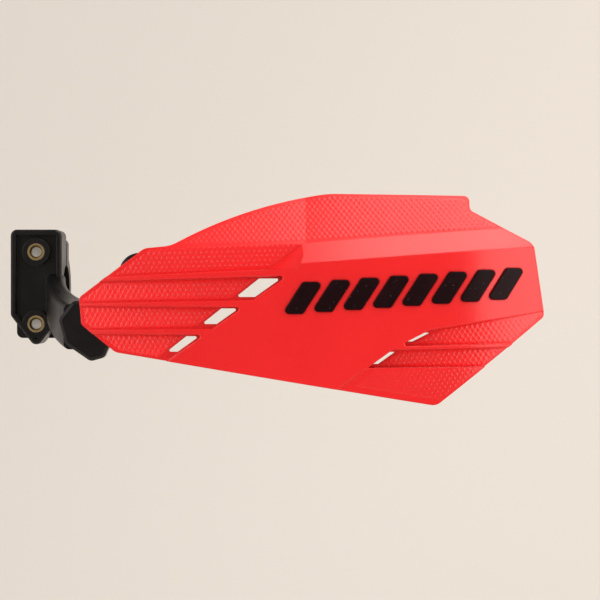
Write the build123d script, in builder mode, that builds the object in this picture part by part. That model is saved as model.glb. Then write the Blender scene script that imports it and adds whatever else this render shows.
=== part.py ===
"""Open-ended motorcycle hand guard for one side of a handlebar, with its arm and bar clamp.

X runs outboard along the handlebar, Y back towards the rider and Z up, in millimetres.
The origin is on the bar's axis, in the middle of the clamp.
"""

import os
from math import asin, cos, degrees, radians, sin, sqrt, tan

from build123d import *

# Handlebar clamp
BAR_D = 22.2
CLAMP_WIDTH = 24.0
CLAMP_TOP = 27.5
CLAMP_SHOULDER = 13.0
CLAMP_POINT = 28.5
CLAMP_FRONT = 17.0
CLAMP_SPLIT = 2.0
CLAMP_RIM = 2.4
CLAMP_DISH = 3.0
CLAMP_SCREW_Z = 17.0
CLAMP_CORNER = 3.0
CLAMP_BEVEL = 0.8
CAP_WALL = 5.0
CAP_FLANGE = 7.0
CAP_MARGIN = 7.0
CAP_CORNER = 3.0

# M6 fasteners
SCREW_D = 6.0
SCREW_CLEARANCE = 0.2
THREAD_CLEARANCE = 0.05
HEAD_D = 10.5
HEAD_H = 3.3
HEAD_CROWN = 1.4
SOCKET_AF = 4.0
SOCKET_DEPTH = 2.2
TIP_CHAMFER = 0.7
WASHER_D = 12.0
WASHER_T = 1.6
SPOT_CLEARANCE = 0.5
INSERT_D = 8.0
INSERT_L = 8.0
SLEEVE_D = 9.0
CLAMP_SCREW_L = 25.0
SHIELD_SCREW_L = 15.0
BOSS_D = 13.0
HOLE_RUNOUT = 1.0

# Shield: overall size and place
INBOARD_X = 29.0
SHIELD_LENGTH = 201.0
OUTBOARD_X = INBOARD_X + SHIELD_LENGTH
TOP_Z = 40.5
BOTTOM_Z = -50.5
WALL = 3.0

# Shield: front skin in plan, a gentle bow that tightens towards the outboard end
STANDOFF = 98.0
SKIN_R = 500.0
FRONT_FROM_END = 80.0
WRAP_R = 85.0
WRAP_FROM_END = 45.0
OVERRUN = 6.0

# Shield: visor, bevel and louvre floors
VISOR_LEAN = 30.0
VISOR_R = 990.0
VISOR_FROM_END = 96.0
VISOR_SET_BACK = 9.4
VISOR_Z = 18.8
BEVEL_LEAN = 45.0
BEVEL_RISE = 4.4
BEVEL_Z = 11.6
BEVEL_HEIGHT = 8.8
LOUVRE_STEP = 0.6
INBOARD_LOUVRE = 4.6
OUTBOARD_LOUVRE = 4.8
PANEL_TURN = 0.4
EDGE_R = 0.5

# Shield: mounting bosses, behind the inboard louvres
TOP_BOSS = (INBOARD_X + 25.0, 6.0)
INBOARD_BOSS = (INBOARD_X + 15.0, -16.0)
OUTBOARD_BOSS = (INBOARD_X + 45.0, -8.0)
SEAT_SET_BACK = 26.0
GUSSET_T = 2.5
GUSSET_DROP = 2.0

# Rubber pads on the plateau
PAD_COUNT = 8
PAD_PITCH = 12.4
PAD_WIDTH = 8.8
PAD_HEIGHT = 13.5
PAD_SLANT = 33.0
PAD_RISE = 4.0
PAD_CORNER = 1.6
PAD_PROUD = 1.0
PAD_SUNK = 0.8
PAD_EDGE_R = 0.4
PAD_FROM_END = 61.0
PAD_MIDDLE_Z = -1.8

# Arm: the pad that the shield bolts to, and the channel-section beam behind it
ARM_PAD_T = 6.0
ARM_CORNER = 3.0
ARM_BEVEL = 1.2
BEAM_CORNER = 2.5
BEAM_FLANGE = 3.5
BEAM_WEB = 4.0

# Values that follow from those above
FRONT_X = OUTBOARD_X - FRONT_FROM_END
WRAP_X = OUTBOARD_X - WRAP_FROM_END
WRAP_TURN = asin((WRAP_X - FRONT_X) / SKIN_R)
SKIN_CENTRE = (FRONT_X, SKIN_R - STANDOFF)
WRAP_CENTRE = (
    SKIN_CENTRE[0] + (SKIN_R - WRAP_R) * sin(WRAP_TURN),
    SKIN_CENTRE[1] - (SKIN_R - WRAP_R) * cos(WRAP_TURN),
)
BOSSES = {"top": TOP_BOSS, "inboard": INBOARD_BOSS, "outboard": OUTBOARD_BOSS}
SEAT_Y = SEAT_SET_BACK - STANDOFF
BACK_Y = -STANDOFF / 2
CORE_Y = -STANDOFF / 10
HALF_HEIGHT = 2 * max(TOP_Z, -BOTTOM_Z)
THROUGH = 2 * (SHIELD_LENGTH + STANDOFF)


def skin_y(x, inset=0.0):
    """Depth at x of the front skin, moved back by inset."""
    if x < WRAP_X:
        return SKIN_CENTRE[1] - sqrt((SKIN_R - inset) ** 2 - (x - SKIN_CENTRE[0]) ** 2)
    return WRAP_CENTRE[1] - sqrt((WRAP_R - inset) ** 2 - (x - WRAP_CENTRE[0]) ** 2)


INBOARD_HINGE = Axis((INBOARD_X, skin_y(INBOARD_X), 0), (0, 0, 1))
OUTBOARD_HINGE = Axis((OUTBOARD_X, skin_y(OUTBOARD_X), 0), (0, 0, 1))


def skin_plan(inset, edge_y):
    """Plan of what lies between the skin, moved back by inset, and a straight edge across the guard."""
    start = degrees(asin((FRONT_X - INBOARD_X + OVERRUN) / SKIN_R))
    turn = degrees(WRAP_TURN)
    end = degrees(asin((OUTBOARD_X + OVERRUN - WRAP_CENTRE[0]) / WRAP_R))
    with BuildSketch() as plan:
        with BuildLine():
            bow = CenterArc(SKIN_CENTRE, SKIN_R - inset, -90 - start, start + turn)
            wrap = CenterArc(WRAP_CENTRE, WRAP_R - inset, -90 + turn, end - turn)
            Polyline(wrap @ 1, ((wrap @ 1).X, edge_y), ((bow @ 0).X, edge_y), bow @ 0)
        make_face()
    return plan.sketch


def visor_body(inset):
    """Everything behind the visor's face inboard of the bevel, a shallow cylinder that leans back."""
    lean = radians(VISOR_LEAN)
    middle = (OUTBOARD_X - VISOR_FROM_END, VISOR_SET_BACK - STANDOFF, VISOR_Z)
    visor = Plane(middle, x_dir=(1, 0, 0), z_dir=(0, sin(lean), cos(lean)))
    half = degrees(asin(SHIELD_LENGTH / VISOR_R))
    with BuildPart() as body:
        with BuildSketch(visor):
            with BuildLine():
                bow = CenterArc((0, VISOR_R), VISOR_R - inset, -90 - half, 2 * half)
                Polyline(bow @ 1, ((bow @ 1).X, STANDOFF), ((bow @ 0).X, STANDOFF), bow @ 0)
            make_face()
        extrude(amount=2 * HALF_HEIGHT, both=True)
    return body.part


def recessed_body(inset, kept_clear):
    """Everything behind the louvre floors, which slope in from both ends of the skin, and the visor.

    Outboard of the skin's foremost line, it leaves out what is inside an outline.
    """
    floor = skin_plan(inset + LOUVRE_STEP, CORE_Y)
    visor = visor_body(inset)
    with BuildPart() as body:
        with BuildSketch():
            add(floor.rotate(INBOARD_HINGE, INBOARD_LOUVRE))
            add(floor.rotate(OUTBOARD_HINGE, -OUTBOARD_LOUVRE))
        extrude(amount=HALF_HEIGHT, both=True)
        add(visor, mode=Mode.INTERSECT)
        with BuildSketch(Plane.XZ):
            add(kept_clear)
            with Locations((FRONT_X, 0)):
                Rectangle(THROUGH, THROUGH, align=(Align.MIN, Align.CENTER), mode=Mode.INTERSECT)
        extrude(amount=THROUGH, both=True, mode=Mode.SUBTRACT)
    return body.part


def louvre_y(x):
    """Depth of the inboard louvre floor at x, near enough to place what stands on it."""
    return skin_y(x) + LOUVRE_STEP + (x - INBOARD_X) * tan(radians(INBOARD_LOUVRE))


def along(start, end, z):
    """x at height z on the line through two points of the front view."""
    return start[0] + (end[0] - start[0]) * (z - start[1]) / (end[1] - start[1])


def level(start, end, x):
    """Height at x on the line through two points of the front view."""
    return start[1] + (end[1] - start[1]) * (x - start[0]) / (end[0] - start[0])


# Front view of the plateau: its inboard edge, the ramp above its upper rib and its outboard edge
FOOT = (INBOARD_X + 38.7, -31.7)
SHOULDER = (INBOARD_X + 94.6, 7.8)
RAMP_RUN = 12.4
RAMP_TOP = (INBOARD_X + 93.0, 15.6)
RAMP_END = (INBOARD_X + 99.4, 20.0)
RAMP_MARGIN = 2.0
RAMP_SINK = 0.3
HIP = (OUTBOARD_X - 50.6, -18.4)
KNEE = (OUTBOARD_X - 64.6, -25.5)
ANKLE = (OUTBOARD_X - 77.0, -34.4)
CREASE_END_Z = -9.9
PANEL_END_Z = -33.8
CORNER_R = 5.0
ROOT_R = 0.8

# Inboard ribs: lower and upper edge at the shield's end, then at the plateau
INBOARD_RIBS = ((1.75, 3.45, 4.6, SHOULDER[1]), (-8.45, -7.05, -8.9, -5.3), (-20.3, -18.5, -20.7, -17.5))
OUTBOARD_RIB = (-25.65, -24.15, -27.05, -25.4)

# The ramp starts on the upper rib's top edge
RIB_END_X = INBOARD_X - OVERRUN
UPPER_RIB_END = (RIB_END_X, INBOARD_RIBS[0][1])
RAMP_FOOT_X = SHOULDER[0] - RAMP_RUN
RAMP_FOOT = (RAMP_FOOT_X, level(UPPER_RIB_END, SHOULDER, RAMP_FOOT_X))


def rib_outline(end_x, root_x, rib):
    """Rib that tapers between the heights of its edges at either end."""
    end_low, end_high, root_low, root_high = rib
    Polygon(
        (end_x, end_low),
        (root_x, root_low),
        (root_x, root_high),
        (end_x, end_high),
        align=None,
    )


with BuildSketch(Plane.XZ) as plateau:
    beyond_x = OUTBOARD_X + OVERRUN
    below_z = BOTTOM_Z - OVERRUN
    in_rib_z = (INBOARD_RIBS[0][2] + SHOULDER[1]) / 2
    with BuildLine():
        FilletPolyline(
            (along(FOOT, SHOULDER, below_z), below_z),
            (along(FOOT, SHOULDER, in_rib_z), in_rib_z),
            (along(RAMP_FOOT, RAMP_TOP, in_rib_z) - RAMP_MARGIN, in_rib_z),
            (along(RAMP_FOOT, RAMP_TOP, RAMP_END[1]) - RAMP_MARGIN, RAMP_END[1]),
            (along(RAMP_FOOT, RAMP_TOP, RAMP_END[1]) - RAMP_MARGIN, TOP_Z),
            (beyond_x, TOP_Z),
            (beyond_x, CREASE_END_Z),
            HIP,
            KNEE,
            (along(KNEE, ANKLE, below_z), below_z),
            radius=(0, 0, 0, 0, 0, 0, 0, CORNER_R, 0, 0),
            close=True,
        )
    make_face()

# Lower outboard panel: it leaves the plateau along a line that runs on from the slits
with BuildSketch(Plane.XZ) as panel:
    with BuildLine():
        Polyline(
            ANKLE,
            (beyond_x, PANEL_END_Z),
            (beyond_x, below_z),
            (along(KNEE, ANKLE, below_z), below_z),
            close=True,
        )
    make_face()

with BuildSketch(Plane.XZ) as raised:
    add(plateau.sketch)
    for rib in INBOARD_RIBS:
        rib_outline(RIB_END_X, SHOULDER[0], rib)
    rib_outline(OUTBOARD_X, ANKLE[0], OUTBOARD_RIB)
    for rib in INBOARD_RIBS:
        for z in (edge for edge in rib[2:] if edge < SHOULDER[1]):
            root = (along(FOOT, SHOULDER, z), z, 0)
            fillet(raised.vertices().sort_by_distance(root)[:1], ROOT_R)
    fillet(raised.vertices().sort_by_distance((*KNEE, 0))[:2], ROOT_R)


def on_skin(edge, inset=0.0):
    """Whether an edge lies on the front skin, moved back by inset."""
    middle = edge @ 0.5
    return abs(middle.Y - skin_y(middle.X, inset)) < EDGE_R / 10


def raised_body(outline, inset):
    """Everything behind the skin inside an outline, under the bevel, the visor above it and the corner ramp."""
    lean = radians(BEVEL_LEAN)
    visor_lean = radians(VISOR_LEAN)
    rise = radians(BEVEL_RISE)
    crease_drop = inset * tan(lean / 2)
    visor_drop = inset * (1 / cos(lean) - 1 / cos(visor_lean)) / (tan(lean) - tan(visor_lean))
    crease_z = BEVEL_Z - FRONT_X * tan(rise)
    along_crease = {"x_dir": (cos(rise), 0, sin(rise)), "z_dir": (-sin(rise), 0, cos(rise))}
    crease = Plane((0, 0, crease_z - crease_drop), **along_crease)
    visor_foot = Plane((0, 0, crease_z + BEVEL_HEIGHT - visor_drop), **along_crease)
    visor_back = (BEVEL_HEIGHT - visor_drop + crease_drop) * tan(lean)
    ramp_foot = Vector(RAMP_FOOT[0], louvre_y(RAMP_FOOT[0]), RAMP_FOOT[1])
    ramp_top = Vector(RAMP_TOP[0], louvre_y(RAMP_TOP[0]), RAMP_TOP[1])
    shoulder = Vector(SHOULDER[0], skin_y(SHOULDER[0]), SHOULDER[1])
    facing = (shoulder - ramp_foot).cross(ramp_top - ramp_foot).normalized()
    ramp_start_x = RAMP_FOOT[0] - RAMP_RUN
    solid_plan = skin_plan(inset, CORE_Y)
    front_plan = skin_plan(inset, -THROUGH)
    with BuildPart() as ramp_cut:
        with BuildSketch(Plane(shoulder - facing * inset, z_dir=facing)):
            Rectangle(THROUGH, THROUGH)
        extrude(amount=THROUGH)
        with BuildSketch(Plane.XZ):
            Polygon(
                (ramp_start_x, level(UPPER_RIB_END, SHOULDER, ramp_start_x) + RAMP_SINK),
                (RAMP_FOOT[0], RAMP_FOOT[1] - RAMP_SINK),
                SHOULDER,
                RAMP_END,
                (ramp_start_x, RAMP_END[1]),
                align=None,
            )
        extrude(amount=THROUGH, both=True, mode=Mode.INTERSECT)
    with BuildPart() as body:
        with BuildSketch():
            add(solid_plan)
        extrude(amount=HALF_HEIGHT, both=True)
        with BuildSketch(Plane.XZ):
            add(outline)
        extrude(amount=THROUGH, both=True, mode=Mode.INTERSECT)
        front_edges = body.edges().filter_by(on_skin).filter_by(Axis.Z, reverse=True)
        if front_edges:
            fillet(front_edges, EDGE_R)
        with BuildSketch(crease):
            add(front_plan)
            with Locations((RAMP_FOOT[0], 0)):
                Rectangle(THROUGH, 2 * THROUGH, align=(Align.MIN, Align.CENTER), mode=Mode.INTERSECT)
        extrude(amount=HALF_HEIGHT, dir=(0, sin(lean), cos(lean)), mode=Mode.SUBTRACT)
        with BuildSketch(visor_foot):
            with Locations((0, visor_back)):
                add(solid_plan)
        extrude(amount=HALF_HEIGHT, dir=(0, sin(visor_lean), cos(visor_lean)))
        with BuildSketch(Plane.XZ):
            add(outline)
        extrude(amount=THROUGH, both=True, mode=Mode.INTERSECT)
        add(ramp_cut.part, mode=Mode.SUBTRACT)
    return body.part


with BuildSketch(Plane.XZ) as plateau_core:
    add(plateau.sketch)
    add(panel.sketch)
    offset(amount=-WALL)

with BuildPart() as panel_body:
    with BuildSketch():
        add(skin_plan(0, CORE_Y).rotate(OUTBOARD_HINGE, -PANEL_TURN))
    extrude(amount=HALF_HEIGHT, both=True)
    with BuildSketch(Plane.XZ):
        add(panel.sketch)
    extrude(amount=THROUGH, both=True, mode=Mode.INTERSECT)

with BuildPart() as front:
    add(recessed_body(0, plateau_core.sketch))
    add(raised_body(raised.sketch, 0))
    add(panel_body.part)

with BuildPart() as core:
    add(recessed_body(WALL, plateau_core.sketch))
    add(raised_body(plateau_core.sketch, WALL))
    with BuildSketch(Plane.XZ.offset(-SEAT_Y)):
        with Locations(*BOSSES.values()):
            Circle(BOSS_D / 2)
    extrude(amount=THROUGH, mode=Mode.SUBTRACT)
    with BuildSketch(Plane.XZ.offset(GUSSET_DROP - SEAT_Y)):
        with BuildLine():
            Polyline(*BOSSES.values(), close=True)
        trace(line_width=GUSSET_T)
    extrude(amount=THROUGH, mode=Mode.SUBTRACT)

# Front view of the shield's rim
HEEL = (INBOARD_X + 16.0, -28.2)
INBOARD_LOW = (INBOARD_X + 1.0, -16.3)
INBOARD_TOP = (INBOARD_X, -4.6)
NAPE = (INBOARD_X + 28.5, 16.5)
NECK = (INBOARD_X + 40.0, 17.6)
CROWN_START = (OUTBOARD_X - 93.0, TOP_Z)
CROWN_BOW = 3.5
CROWN_END = (OUTBOARD_X - 32.0, TOP_Z - 1.0)
NOTCH = (OUTBOARD_X - 32.2, 33.2)
OUTBOARD_TOP = (OUTBOARD_X - 4.8, 18.6)
OUTBOARD_LOW = (OUTBOARD_X + 0.3, -12.8)
KEEL = (OUTBOARD_X - 48.0, BOTTOM_Z)
RIM_CORNERS = (
    (HEEL, 5.0),
    (INBOARD_LOW, 3.0),
    (INBOARD_TOP, 2.5),
    (NAPE, 6.0),
    (NECK, 14.0),
    (CROWN_START, 40.0),
    (CROWN_END, 2.5),
    (NOTCH, 3.0),
    (OUTBOARD_TOP, 5.0),
    (OUTBOARD_LOW, 2.5),
    (KEEL, 5.0),
)

with BuildSketch(Plane.XZ) as rim:
    with BuildLine():
        SagittaArc(NECK, CROWN_START, CROWN_BOW)
        Polyline(
            CROWN_START,
            CROWN_END,
            NOTCH,
            OUTBOARD_TOP,
            OUTBOARD_LOW,
            KEEL,
            HEEL,
            INBOARD_LOW,
            INBOARD_TOP,
            NAPE,
            NECK,
        )
    make_face()
    for (corner_x, corner_z), radius in RIM_CORNERS:
        fillet(rim.vertices().sort_by_distance((corner_x, corner_z, 0))[:1], radius)

# Vents beside the plateau: their lower and upper edges
INBOARD_VENTS = ((-4.4, 3.5), (-16.0, -9.3), (-27.9, -21.2))
VENT_LOW = (INBOARD_X + 38.2, -27.9)
VENT_HIGH = (INBOARD_X + 78.0, 3.6)
VENT_MARGIN = 1.2
OUTBOARD_VENTS = ((HIP, KNEE, -23.4, -19.6), (KNEE, ANKLE, -33.0, -27.8))
SLIT_WIDTH = 2.4
SLIT_MARGIN = 0.4
VENT_CORNER = 0.6
SLIT_CORNER = 0.2

with BuildSketch(Plane.XZ) as wide_vents:
    for low, high in INBOARD_VENTS:
        Polygon(
            (along(VENT_LOW, VENT_HIGH, low), low),
            (along(FOOT, SHOULDER, low) - VENT_MARGIN, low),
            (along(FOOT, SHOULDER, high) - VENT_MARGIN, high),
            (along(VENT_LOW, VENT_HIGH, high), high),
            align=None,
        )
    fillet(wide_vents.vertices(), VENT_CORNER)

with BuildSketch(Plane.XZ) as slits:
    for top, bottom, low, high in OUTBOARD_VENTS:
        slit_low = along(top, bottom, low) + SLIT_MARGIN
        slit_high = along(top, bottom, high) + SLIT_MARGIN
        Polygon(
            (slit_low, low),
            (slit_low + SLIT_WIDTH, low),
            (slit_high + SLIT_WIDTH, high),
            (slit_high, high),
            align=None,
        )
    fillet(slits.vertices(), SLIT_CORNER)

with BuildSketch(Plane.XZ) as pads:
    slant = tan(radians(PAD_SLANT)) * PAD_HEIGHT / 2
    for index in range(PAD_COUNT):
        from_middle = (index - (PAD_COUNT - 1) / 2) * PAD_PITCH
        pad_x = OUTBOARD_X - PAD_FROM_END + from_middle
        pad_z = PAD_MIDDLE_Z + from_middle * tan(radians(PAD_RISE))
        Polygon(
            (pad_x - slant - PAD_WIDTH / 2, pad_z - PAD_HEIGHT / 2),
            (pad_x - slant + PAD_WIDTH / 2, pad_z - PAD_HEIGHT / 2),
            (pad_x + slant + PAD_WIDTH / 2, pad_z + PAD_HEIGHT / 2),
            (pad_x + slant - PAD_WIDTH / 2, pad_z + PAD_HEIGHT / 2),
            align=None,
        )
    fillet(pads.vertices(), PAD_CORNER)


def pad_solids(front_inset, back_inset):
    """The pads' outlines, cut from the layer between two depths under the skin."""
    front_plan = skin_plan(front_inset, CORE_Y)
    back_plan = skin_plan(back_inset, CORE_Y)
    with BuildPart() as solids:
        with BuildSketch():
            add(front_plan)
            add(back_plan, mode=Mode.SUBTRACT)
        extrude(amount=HALF_HEIGHT, both=True)
        with BuildSketch(Plane.XZ):
            add(pads.sketch)
        extrude(amount=THROUGH, both=True, mode=Mode.INTERSECT)
    return solids.part


pad_pockets = pad_solids(-OVERRUN, PAD_SUNK)

with BuildPart() as rubber_inlay:
    add(pad_solids(-PAD_PROUD, PAD_SUNK))
    pad_edges = rubber_inlay.edges().filter_by(Axis.Z, reverse=True)
    fillet([edge for edge in pad_edges if on_skin(edge, -PAD_PROUD)], PAD_EDGE_R)

with BuildPart() as shield:
    with BuildSketch(Plane.XZ.offset(-BACK_Y)):
        add(rim.sketch)
    extrude(amount=THROUGH)
    add(front.part, mode=Mode.INTERSECT)
    add(core.part, mode=Mode.SUBTRACT)
    with BuildSketch(Plane.XZ):
        add(wide_vents.sketch)
        add(slits.sketch)
    extrude(amount=THROUGH, mode=Mode.SUBTRACT)
    add(pad_pockets, mode=Mode.SUBTRACT)
    with BuildSketch(Plane.XZ.offset(-SEAT_Y)):
        with Locations(*BOSSES.values()):
            Circle(INSERT_D / 2)
    extrude(amount=INSERT_L + HOLE_RUNOUT, mode=Mode.SUBTRACT)

# Front view of the clamp's front half, and of the pad that the shield bolts to
SCREW_HOLE_R = SCREW_D / 2 + SCREW_CLEARANCE
CLAMP_SCREWS = {"upper": (0.0, CLAMP_SCREW_Z), "lower": (0.0, -CLAMP_SCREW_Z)}
PAD_MARGIN = 9.0
PAD_TOE = (
    (INBOARD_X - 10.5, -14.0),
    (INBOARD_X - 7.5, -25.0),
    (INBOARD_X + 3.5, -32.6),
    (INBOARD_X + 9.5, -31.0),
    (INBOARD_X + 13.0, -23.0),
    (INBOARD_X + 19.0, -6.0),
    (INBOARD_X - 4.0, -6.0),
)

# Sections of the beam between them: middle, width and height
BEAM_ROOT = ((CLAMP_WIDTH / 2 - 3.0, -3.0), 9.0, 19.0)
BEAM_MIDDLE = ((INBOARD_X - 13.0, -12.0), 11.0, 19.0)
BEAM_END = ((INBOARD_X - 0.5, -17.5), 17.0, 20.0)

with BuildSketch(Plane.XZ) as clamp_face:
    half_width = CLAMP_WIDTH / 2
    with BuildLine():
        FilletPolyline(
            (-half_width, CLAMP_TOP),
            (half_width, CLAMP_TOP),
            (half_width, -CLAMP_SHOULDER),
            (0, -CLAMP_POINT),
            (-half_width, -CLAMP_SHOULDER),
            radius=CLAMP_CORNER,
            close=True,
        )
    make_face()

with BuildSketch(Plane.XZ) as arm_pad:
    with BuildLine():
        FilletPolyline(*PAD_TOE, radius=ARM_CORNER, close=True)
    make_face()
    with BuildSketch(mode=Mode.PRIVATE) as round_bosses:
        with Locations(*BOSSES.values()):
            Circle(PAD_MARGIN)
    make_hull(round_bosses.edges())

pad_back = SEAT_Y + ARM_PAD_T
beam_sections = (
    (CLAMP_FRONT - CLAMP_DISH, BEAM_ROOT),
    ((CLAMP_FRONT - pad_back) / 2, BEAM_MIDDLE),
    (-pad_back, BEAM_END),
)

with BuildPart() as beam:
    for depth, (middle, width, height) in beam_sections:
        with BuildSketch(Plane.XZ.offset(depth)):
            with Locations(middle):
                RectangleRounded(width, height, BEAM_CORNER)
    loft()
    for depth, (middle, width, height) in beam_sections:
        with BuildSketch(Plane.XZ.offset(depth)):
            with Locations((middle[0] - width / 2 + BEAM_WEB, middle[1])):
                Rectangle(width, height - 2 * BEAM_FLANGE, align=(Align.MIN, Align.CENTER))
    loft(mode=Mode.SUBTRACT)

with BuildPart() as mount_arm:
    with BuildSketch(Plane.XZ.offset(CLAMP_SPLIT / 2)):
        add(clamp_face.sketch)
    extrude(amount=CLAMP_FRONT - CLAMP_SPLIT / 2)
    chamfer(mount_arm.faces().sort_by(Axis.Y)[0].edges(), CLAMP_BEVEL)
    with BuildSketch(Plane.XZ.offset(CLAMP_FRONT)):
        add(clamp_face.sketch)
        offset(amount=-CLAMP_RIM)
        with Locations(*CLAMP_SCREWS.values()):
            Circle(BOSS_D / 2, mode=Mode.SUBTRACT)
    extrude(amount=-CLAMP_DISH, mode=Mode.SUBTRACT)
    with BuildSketch(Plane.XZ.offset(-pad_back)):
        add(arm_pad.sketch)
    extrude(amount=ARM_PAD_T)
    chamfer(mount_arm.faces().sort_by(Axis.Y)[0].edges(), ARM_BEVEL)
    add(beam.part)
    Cylinder(BAR_D / 2, 2 * CLAMP_WIDTH, rotation=(0, 90, 0), mode=Mode.SUBTRACT)
    with BuildSketch(Plane.XZ):
        with Locations(*CLAMP_SCREWS.values()):
            Circle(SCREW_HOLE_R)
    extrude(amount=CLAMP_FRONT, mode=Mode.SUBTRACT)
    with BuildSketch(Plane.XZ.offset(CLAMP_FRONT)):
        with Locations(*CLAMP_SCREWS.values()):
            Circle(INSERT_D / 2)
    extrude(amount=-INSERT_L, mode=Mode.SUBTRACT)
    with BuildSketch(Plane.XZ.offset(-SEAT_Y)):
        with Locations(*BOSSES.values()):
            Circle(SLEEVE_D / 2)
    extrude(amount=-ARM_PAD_T, mode=Mode.SUBTRACT)

with BuildPart() as clamp_cap:
    seat = CLAMP_SPLIT / 2 + CAP_FLANGE
    cap_height = 2 * (CLAMP_SCREW_Z + CAP_MARGIN)
    with BuildSketch(Plane.YZ):
        Circle(BAR_D / 2 + CAP_WALL)
        with Locations((seat / 2, 0)):
            Rectangle(seat, cap_height)
        with Locations((CLAMP_SPLIT / 2, 0)):
            Rectangle(BAR_D, 2 * cap_height, align=(Align.MAX, Align.CENTER), mode=Mode.SUBTRACT)
        Circle(BAR_D / 2, mode=Mode.SUBTRACT)
    extrude(amount=CLAMP_WIDTH / 2, both=True)
    for end in (0, -1):
        fillet(clamp_cap.faces().sort_by(Axis.Z)[end].edges().filter_by(Axis.Y), CAP_CORNER)
    with BuildSketch(Plane.XZ.offset(-seat)):
        with Locations(*CLAMP_SCREWS.values()):
            Circle(WASHER_D / 2 + SPOT_CLEARANCE)
    extrude(amount=-BAR_D, mode=Mode.SUBTRACT)
    with BuildSketch(Plane.XZ):
        with Locations(*CLAMP_SCREWS.values()):
            Circle(SCREW_HOLE_R)
    extrude(amount=-BAR_D, mode=Mode.SUBTRACT)


def button_screw(length):
    """Button-head socket screw, with its head above the origin and its shank below."""
    with BuildPart() as screw:
        Cylinder(HEAD_D / 2, HEAD_H, align=(Align.CENTER, Align.CENTER, Align.MIN))
        fillet(screw.faces().sort_by(Axis.Z)[-1].edges(), HEAD_CROWN)
        with BuildSketch(Plane.XY.offset(HEAD_H)):
            RegularPolygon(SOCKET_AF / 2, 6, major_radius=False)
        extrude(amount=-SOCKET_DEPTH, mode=Mode.SUBTRACT)
        Cylinder(SCREW_D / 2, length, align=(Align.CENTER, Align.CENTER, Align.MAX))
        chamfer(screw.faces().sort_by(Axis.Z)[0].edges(), TIP_CHAMFER)
    return screw.part


def ring(outer_d, inner_d, length):
    """Plain ring that stands on the origin."""
    with BuildPart() as body:
        Cylinder(outer_d / 2, length, align=(Align.CENTER, Align.CENTER, Align.MIN))
        Cylinder(inner_d / 2, 2 * length, mode=Mode.SUBTRACT)
    return body.part


def facing_back(piece, spot, y):
    """A copy of a piece at a spot of the front view, with its top towards the rider."""
    return Plane((spot[0], y, spot[1]), x_dir=(1, 0, 0), z_dir=(0, 1, 0)).location * piece


thread_hole = SCREW_D + 2 * THREAD_CLEARANCE
washer = ring(WASHER_D, 2 * SCREW_HOLE_R, WASHER_T)
insert = ring(INSERT_D, thread_hole, INSERT_L)
sleeve = ring(SLEEVE_D, 2 * SCREW_HOLE_R, ARM_PAD_T)

pieces = {
    "shield": shield.part,
    "rubber_inlay": rubber_inlay.part,
    "mount_arm": mount_arm.part,
    "clamp_cap": clamp_cap.part,
}
for place, spot in CLAMP_SCREWS.items():
    pieces[f"clamp_screw_{place}"] = facing_back(button_screw(CLAMP_SCREW_L), spot, seat + WASHER_T)
    pieces[f"clamp_washer_{place}"] = facing_back(washer, spot, seat)
    pieces[f"clamp_insert_{place}"] = facing_back(insert, spot, -CLAMP_FRONT)
for place, spot in BOSSES.items():
    pieces[f"shield_screw_{place}"] = facing_back(button_screw(SHIELD_SCREW_L), spot, pad_back + WASHER_T)
    pieces[f"shield_washer_{place}"] = facing_back(washer, spot, pad_back)
    pieces[f"shield_insert_{place}"] = facing_back(insert, spot, SEAT_Y - INSERT_L)
    pieces[f"arm_sleeve_{place}"] = facing_back(sleeve, spot, SEAT_Y)

os.makedirs("parts", exist_ok=True)
for name, piece in pieces.items():
    piece.label = name
    export_step(piece, f"parts/{name}.step")
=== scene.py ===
"""Looks of an open-ended motorcycle hand guard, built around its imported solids.

The frame is in metres. X runs outboard along the handlebar, Y back towards the rider and Z up.
Shapes on the shield are worked out in millimetres in its front view, X against Z.
"""

import math
from collections import namedtuple

import bpy
import numpy as np
from bpy.props import FloatProperty, FloatVectorProperty, IntProperty, PointerProperty
from bpy.types import Operator, Panel, PropertyGroup
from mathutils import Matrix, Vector


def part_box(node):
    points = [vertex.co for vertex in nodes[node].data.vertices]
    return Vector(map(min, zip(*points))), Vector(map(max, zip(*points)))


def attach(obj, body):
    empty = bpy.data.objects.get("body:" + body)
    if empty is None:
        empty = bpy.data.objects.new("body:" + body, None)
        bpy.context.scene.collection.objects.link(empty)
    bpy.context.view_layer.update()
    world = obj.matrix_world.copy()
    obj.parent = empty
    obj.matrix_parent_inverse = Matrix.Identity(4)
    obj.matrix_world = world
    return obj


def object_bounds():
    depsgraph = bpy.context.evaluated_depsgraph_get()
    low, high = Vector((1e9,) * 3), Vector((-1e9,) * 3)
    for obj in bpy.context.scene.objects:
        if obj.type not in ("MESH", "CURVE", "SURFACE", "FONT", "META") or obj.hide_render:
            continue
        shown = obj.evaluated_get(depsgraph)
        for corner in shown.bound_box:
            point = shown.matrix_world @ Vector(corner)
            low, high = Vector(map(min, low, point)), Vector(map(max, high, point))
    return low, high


bl_info = {
    "name": "Hand guard",
    "version": (1, 0, 0),
    "blender": (4, 5, 0),
    "location": "View3D > Sidebar > Hand guard",
    "description": "Dresses the solids of a motorcycle hand guard",
    "category": "Object",
}

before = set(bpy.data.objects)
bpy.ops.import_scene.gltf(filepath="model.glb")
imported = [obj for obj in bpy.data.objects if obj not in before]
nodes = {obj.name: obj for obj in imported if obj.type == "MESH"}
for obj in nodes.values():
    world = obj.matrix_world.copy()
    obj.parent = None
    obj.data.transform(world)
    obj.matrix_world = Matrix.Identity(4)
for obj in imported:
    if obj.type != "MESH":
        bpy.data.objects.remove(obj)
solid_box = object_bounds()

MM = 0.001
BODY = "root"

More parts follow.
